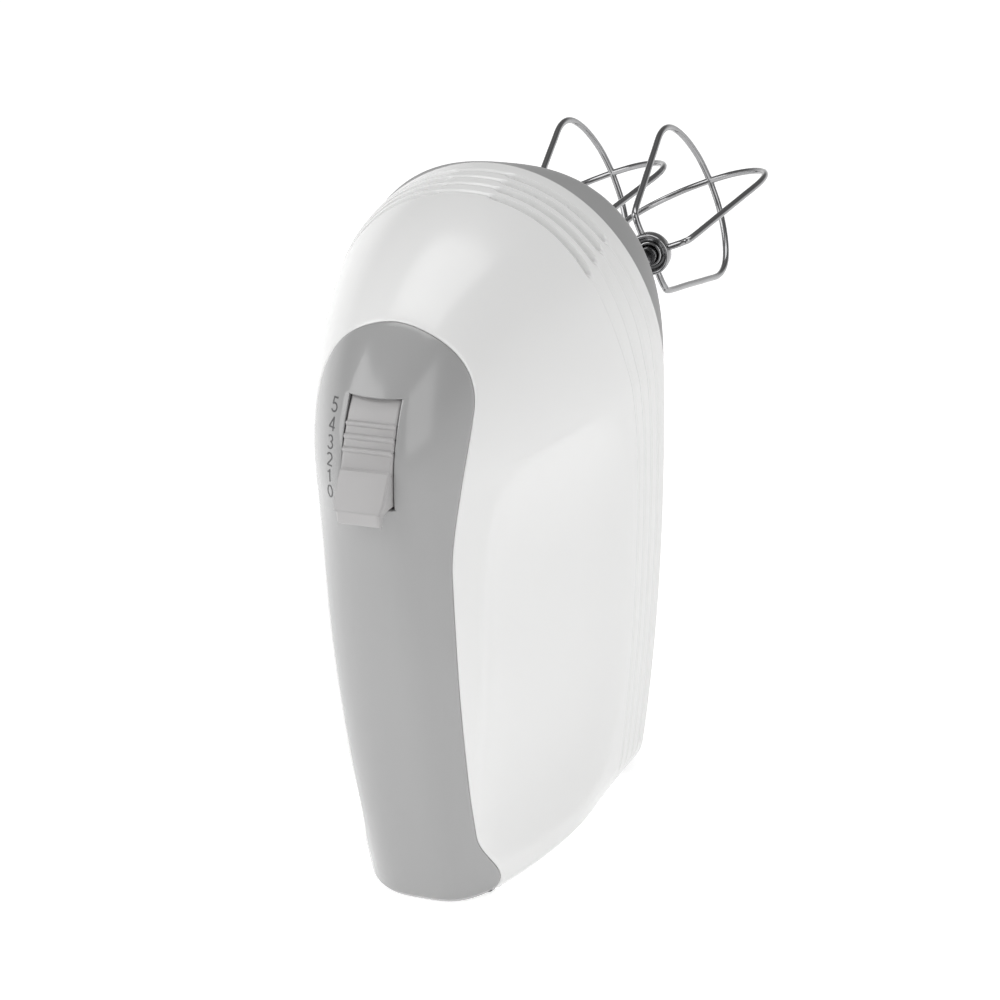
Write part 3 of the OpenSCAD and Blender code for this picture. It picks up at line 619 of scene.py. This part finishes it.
def base_loop(inset, depth):
    """x and z round the base, set in from the rim, at a depth behind it."""
    turn = np.radians(np.arange(0, 180.1, 2.5))
    power = 2 / (2 + SQUARENESS * min(1, depth / 10))
    nose = np.stack([(HALF - inset) * np.sign(np.cos(turn)) * np.abs(np.cos(turn)) ** power,
                     DOME + (CROWN - inset) * np.clip(np.sin(turn), 0, 1) ** power], -1)
    down = np.concatenate([np.arange(136, 20, -4.0), [17, 14, 12, 10, 8, 6, 4.5, 3, 2, 1.2, 0.6, 0.2, 0]])
    side = width_at(np.maximum(down, EDGE_BREAK)) - heel_corner(down, 0 * down) - inset
    height = inset + down * (1 - inset / DOME)
    sole = np.linspace(-1, 1, 9)[1:-1]
    return np.vstack([nose, np.stack([-side, height], -1),
                      np.stack([sole * side[-1], np.full(len(sole), inset)], -1),
                      np.stack([side[::-1], height[::-1]], -1)])


# Share of the base's depth, and inset there.
profile = smooth_path([[0, 0], [0.35, 1.4], [0.62, 2.8], [0.82, 4.2], [0.94, 6.4], [1, 10]], 7)
base = np.array([np.insert(base_loop(BASE_GAP + max(0, inset), s * BASE_DEPTH), 1, min(1, s) * BASE_DEPTH,
                           axis=1) for s, inset in profile])
rows, columns = base.shape[:2]
faces = grid_faces(rows, columns, wrap=True)
faces.append(list(range(columns)))
faces.append(list(range((rows - 1) * columns, rows * columns))[::-1])
base_piece = new_piece("base_skin", base.reshape(-1, 3), faces, "housing", MATERIALS["grey_base"],
                       ["base_shell"])
recalculated(base_piece)


def rod(name, radius, y0, y1, x, z, sides=48):
    """A closed round bar along Y, used only to cut holes."""
    points, faces = lathe([(radius, y0), (radius, y1)], sides)
    faces = faces[:sides] + [list(range(sides)), list(range(sides, 2 * sides))[::-1]]
    mesh = bpy.data.meshes.new(name)
    mesh.from_pydata(((points + (x, 0, z)) * MM).tolist(), [], faces)
    bar = bpy.data.objects.new(name, mesh)
    bpy.context.scene.collection.objects.link(bar)
    return recalculated(bar)


SCREWS = [(40.5, 165), (-40.5, 165), (33, 16), (-33, 16)]
FRONT, BEHIND, SCREW_SEAT = -2, 22, 6     # the cutting bars' ends in y
cutters = [rod(f"port_{i}", PORT_R, FRONT, BEHIND, s * SPINDLE_X, BEATER_Z) for i, s in enumerate((-1, 1))]
cutters += [rod(f"screw_{i}", SCREW_R, SCREW_SEAT, BEHIND, x, z) for i, (x, z) in enumerate(SCREWS)]
cutters.append(rod("gland_hole", GLAND_R, FRONT, BEHIND, 0, GLAND_Z))
for cutter in cutters:
    cut = base_piece.modifiers.new("cut", "BOOLEAN")
    cut.operation = "DIFFERENCE"
    cut.object = cutter
    cut.solver = "EXACT"
bpy.context.view_layer.update()
trimmed = bpy.data.meshes.new_from_object(base_piece.evaluated_get(bpy.context.evaluated_depsgraph_get()))
base_piece.modifiers.clear()
base_piece.data = trimmed
base_piece.data.materials.clear()
base_piece.data.materials.append(MATERIALS["grey_base"])
base_piece.data.shade_smooth()
base_piece.data.set_sharp_from_angle(angle=math.radians(35))
for cutter in cutters:
    bpy.data.objects.remove(cutter)

for side, name in ((-1, "left"), (1, "right")):
    points, faces = lathe([(PORT_R, 15.5), (PORT_R, 18.7), (6.35, 18.95), (6.6, 19.0), (8.3, 19.0),
                           (8.75, 18.8), (9.0, 18.3), (9.0, 17.4), (9.4, 17.05), (10.0, 16.95), (9.0, 15.5)])
    rim = new_piece(f"port_rim_{name}", points + (side * SPINDLE_X, 0, BEATER_Z), faces, "housing",
                    MATERIALS["grey_base"])
    recalculated(rim).data.set_sharp_from_angle(angle=math.radians(50))

# ---- Speed switch ------------------------------------------------------------------------------

PAD_R, SWITCH_HALF = 39.6, 7.2
SHELL_R = 35.0                           # inside of the curved pad
RIDGES, RIDGE_HEIGHT = (25.2, 30.3, 35.4), 0.7    # angles in degrees
LIP_ROUND = 1.4                          # rounding of the lip's corners seen from above


def polar(angle, r):
    """y and z at an angle in degrees above the level line from the pin towards the grip side."""
    a = math.radians(angle)
    return np.array([PIVOT[0] - r * math.cos(a), PIVOT[1] + r * math.sin(a)])


def corner_arc(a, b, c, radius, steps=6):
    """Rounds the corner b between the straight lines to a and c."""
    u, v = (a - b) / np.linalg.norm(a - b), (c - b) / np.linalg.norm(c - b)
    half_turn = math.acos(float(np.clip(u @ v, -1, 1))) / 2
    back = radius / math.tan(half_turn)
    middle = b + (u + v) / np.linalg.norm(u + v) * radius / math.sin(half_turn)
    p, q = b + u * back - middle, b + v * back - middle
    swing = math.acos(float(np.clip((p @ q) / radius**2, -1, 1)))
    return [middle + (math.sin((1 - k / steps) * swing) * p
                      + math.sin(k / steps * swing) * q) / math.sin(swing) for k in range(steps + 1)]


def switch_outline():
    """The switch's outer side view, from the pad's top over the ridges to the lip, and the lip's tip."""
    line = []
    for a in np.arange(52, 18.05, -0.2):
        lift = sum(RIDGE_HEIGHT * max(0.0, 1 - ((a - k) / 1.15) ** 2) ** 1.2 for k in RIDGES)
        dip = 0.25 * (1 - abs(a - 32) / 14) if 18 < a < 46 else 0
        line.append(polar(a, PAD_R + lift - max(0, dip) * (lift < 0.01)))
    root, tip, low = polar(17.3, PAD_R + 0.7), polar(4.2, 45.8), polar(-1, 45)
    hook, nook, back = polar(-0.9, 43.3), polar(1.8, 43.1), polar(3.2, 37.6)
    line += corner_arc(polar(18.0, PAD_R - 0.1), root, tip, 0.25, 4)
    line += [root + (tip - root) * k for k in (0.2, 0.4, 0.6, 0.75)]
    line += corner_arc(root, tip, low, 1.0, 8)
    line += corner_arc(tip, low, hook, 0.7, 6)
    line += [hook, nook] + [nook + (back - nook) * k for k in (0.3, 0.6, 1.0)]
    return np.array(line), tip


outline, tip = switch_outline()
run = np.gradient(outline, axis=0)
run /= np.linalg.norm(run, axis=1, keepdims=True) + 1e-12
into = np.stack([-run[:, 1], run[:, 0]], -1)
toward = PIVOT - outline
into *= np.sign((into * toward).sum(1))[:, None]
beyond = np.array([np.hypot(*(p - tip)) for p in outline])
past_root = outline[:, 0] < polar(8, 43)[0]
short = np.clip(LIP_ROUND - beyond, 0, LIP_ROUND)
pull = np.where(past_root, LIP_ROUND - np.sqrt(np.clip(LIP_ROUND**2 - short**2, 0, 2)), 0)
lowest = np.argmin(outline[:, 0])
pull[lowest:] = np.maximum(pull[lowest:], LIP_ROUND * 0.9)
# How far each column lies from the switch's side, and its sink, for the rounded edge.
stations = [(0.0, 0.75), (0.05, 0.4), (0.2, 0.15), (0.45, 0.03), (0.8, 0.0)]
widths = [(-1, s) for s in stations] + [(0, None)] + [(1, s) for s in reversed(stations)]
points = []
for p, n, shrink in zip(outline, into, pull):
    for sign, station in widths:
        away, sink = station if station else (SWITCH_HALF, 0.0)
        q = p + n * sink
        points.append([sign * (SWITCH_HALF - shrink - away) if station else 0.0, q[0], q[1]])
rows, columns = len(outline), len(widths)
faces = grid_faces(rows, columns)
inner_arc = [polar(t, SHELL_R) for t in np.linspace(3.2, 52, 18)]
flat = list(outline) + inner_arc
triangles = tessellate_polygon([[Vector((q[0], q[1], 0)) for q in flat]])
for sign, column in ((-1, 0), (1, columns - 1)):
    start = len(points)
    points += [points[i * columns + column] for i in range(rows)]
    points += [[sign * SWITCH_HALF, q[0], q[1]] for q in inner_arc]
    faces += [[start + k for k in triangle] for triangle in triangles]
start = len(points)
points += [[x, q[0], q[1]] for q in inner_arc for x in (-SWITCH_HALF, SWITCH_HALF)]
faces += [(start + 2 * i, start + 2 * i + 1, start + 2 * i + 3, start + 2 * i + 2)
          for i in range(len(inner_arc) - 1)]
switch = new_piece("speed_switch_cap", points, faces, "switch", MATERIALS["switch_grey"],
                   ["speed_switch"])
recalculated(switch)
switch.data.set_sharp_from_angle(angle=math.radians(42))

# ---- Beaters -----------------------------------------------------------------------------------

WIRE_R = 1.12
# Distance from the beater's axis, and y, along one wire from the collar to the tip.
WING = [(6.2, 99.3), (9.2, 99.25), (12.4, 99.8), (14.7, 102.3), (19.2, 119), (23.8, 136), (26.9, 149),
        (25.6, 159), (19.5, 167.2), (10, 172.9), (0, 174.75)]


def wire(path, normal, radius, sides=14):
    """Points and faces of a round wire along a path that lies across the normal."""
    path = np.asarray(path)
    run = np.gradient(path, axis=0)
    run /= np.linalg.norm(run, axis=1, keepdims=True)
    out = np.cross(run, normal)
    turn = np.arange(sides) * 2 * math.pi / sides
    points = (path[:, None] + radius * (np.cos(turn)[None, :, None] * np.asarray(normal)[None, None]
                                        + np.sin(turn)[None, :, None] * out[:, None]))
    faces = grid_faces(len(path), sides, wrap=True)
    faces += [list(range(sides)), list(range(len(points) * sides - sides, len(points) * sides))[::-1]]
    return points.reshape(-1, 3), faces


for side, name in ((-1, "left"), (1, "right")):
    axis = np.array([side * SPINDLE_X, 0, BEATER_Z])
    points, faces = [], []
    for turn in (22.5, 112.5):
        c, s = math.cos(math.radians(turn)), math.sin(math.radians(turn))
        wing = smooth_path(WING, 8)
        both = np.vstack([wing, (wing[:-1] * (-1, 1))[::-1]])
        path = axis + np.stack([both[:, 0] * c, both[:, 1], both[:, 0] * s], -1)
        p, f = wire(path, (-s, 0, c), WIRE_R)
        faces += [[i + sum(map(len, points)) for i in q] for q in f]
        points.append(p)
    new_piece(f"whisk_wires_{name}", np.vstack(points), faces, f"beater_{name}",
              MATERIALS["beater_chrome"], [f"beater_wires_{name}"], sharp=60)
    cup = [(3.0, 98.7), (3.25, 98.3), (3.5, 98.0), (4.0, 98.0), (4.3, 98.3), (4.6, 98.8), (5.2, 98.7),
           (5.6, 98.0), (5.9, 97.3), (6.2, 97.03), (6.6, 97.0), (6.95, 97.2), (7.1, 97.7), (7.1, 100.4),
           (6.9, 101.1), (6.3, 101.5), (3.0, 101.55)]
    p, f = lathe(cup, 72)
    collar = new_piece(f"whisk_collar_{name}", p + axis, f, f"beater_{name}",
                       MATERIALS["beater_chrome"], [f"beater_collar_{name}"])
    recalculated(collar).data.set_sharp_from_angle(angle=math.radians(50))

# ---- Ejector springs, copies of the CAD nodes fixed to the housing -----------------------------

for side, name in ((-1, "left"), (1, "right")):
    node = frame["nodes"][f"eject_spring_{name}"]
    coil = bpy.data.objects.new(f"ejector_coil_{name}", node.data.copy())
    bpy.context.scene.collection.objects.link(coil)
    dress(coil, "housing", MATERIALS["spring_steel"], [f"eject_spring_{name}"])
    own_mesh(coil)

# ---- Floor, light and camera -------------------------------------------------------------------

work = bmesh.new()
bmesh.ops.create_grid(work, x_segments=8, y_segments=8, size=6)
mesh = bpy.data.meshes.new("floor")
work.to_mesh(mesh)
work.free()
floor = bpy.data.objects.new("floor", mesh)
floor.location = (0, 0, -0.0002)         # just under the heel
bpy.context.scene.collection.objects.link(floor)
pale = finish("pale_floor", (0.90, 0.90, 0.90), 0.30, vary=0.004, cloud=2, rough_vary=0.02)
glow = pale.node_tree.nodes["Principled BSDF"].inputs
glow["Emission Color"].default_value = (1, 1, 1, 1)
glow["Emission Strength"].default_value = 0.55
mesh.materials.append(pale)

world = bpy.data.worlds.new("studio")
world.use_nodes = True
bpy.context.scene.world = world
tree = world.node_tree
back = tree.nodes["Background"]
where = tree.nodes.new("ShaderNodeTexCoord")
split = tree.nodes.new("ShaderNodeSeparateXYZ")
ramp = tree.nodes.new("ShaderNodeValToRGB")
tree.links.new(where.outputs["Generated"], split.inputs["Vector"])
tree.links.new(split.outputs["Z"], ramp.inputs["Fac"])
tree.links.new(ramp.outputs["Color"], back.inputs["Color"])
ramp.color_ramp.elements[0].position = 0.0
ramp.color_ramp.elements[0].color = (0.95, 0.95, 0.95, 1)
ramp.color_ramp.elements[1].position = 1.0
ramp.color_ramp.elements[1].color = (0.4, 0.4, 0.4, 1)
for place, grey in ((0.12, 0.7), (0.3, 0.22), (0.6, 0.2)):
    step = ramp.color_ramp.elements.new(place)
    step.color = (grey, grey, grey, 1)
back.inputs["Strength"].default_value = 1.0


def softbox(name, place, aim, size, power):
    """A rectangular lamp at a place, in metres, turned to its aim."""
    lamp = bpy.data.lights.new(name, "AREA")
    lamp.shape = "RECTANGLE"
    lamp.size, lamp.size_y = size
    lamp.energy = power
    holder = bpy.data.objects.new(name, lamp)
    holder.location = place
    holder.rotation_euler = (Vector(aim) - Vector(place)).to_track_quat("-Z", "Y").to_euler()
    bpy.context.scene.collection.objects.link(holder)


softbox("key", (-1.0, -0.9, 1.0), (0, -0.03, 0.1), (1.3, 1.3), 13.0)
softbox("side", (1.25, -0.75, 0.85), (0, -0.03, 0.1), (0.9, 1.2), 6.0)
softbox("top", (0.05, 0.35, 1.4), (0, 0, 0.1), (1.2, 0.8), 6.0)

AZIMUTH, ELEVATION, ROLL = math.radians(20.19), math.radians(25.6), math.radians(-2.2)
LOOK_AT, DISTANCE = Vector((0.01723, -0.05, 0.11731)), 0.7502
back_way = Vector((math.sin(AZIMUTH) * math.cos(ELEVATION), -math.cos(AZIMUTH) * math.cos(ELEVATION),
                   math.sin(ELEVATION)))
right = Vector((math.cos(AZIMUTH), math.sin(AZIMUTH), 0))
up = back_way.cross(right)
turned_right = math.cos(ROLL) * right + math.sin(ROLL) * up
turned_up = -math.sin(ROLL) * right + math.cos(ROLL) * up
lens = bpy.data.cameras.new("camera")
lens.lens = 95.11
lens.sensor_width = 36
camera = bpy.data.objects.new("camera", lens)
seat = Matrix((turned_right, turned_up, back_way)).transposed().to_4x4()
seat.translation = LOOK_AT + DISTANCE * back_way
camera.matrix_world = seat
bpy.context.scene.collection.objects.link(camera)
bpy.context.scene.camera = camera
bpy.context.scene.view_settings.view_transform = "Standard"
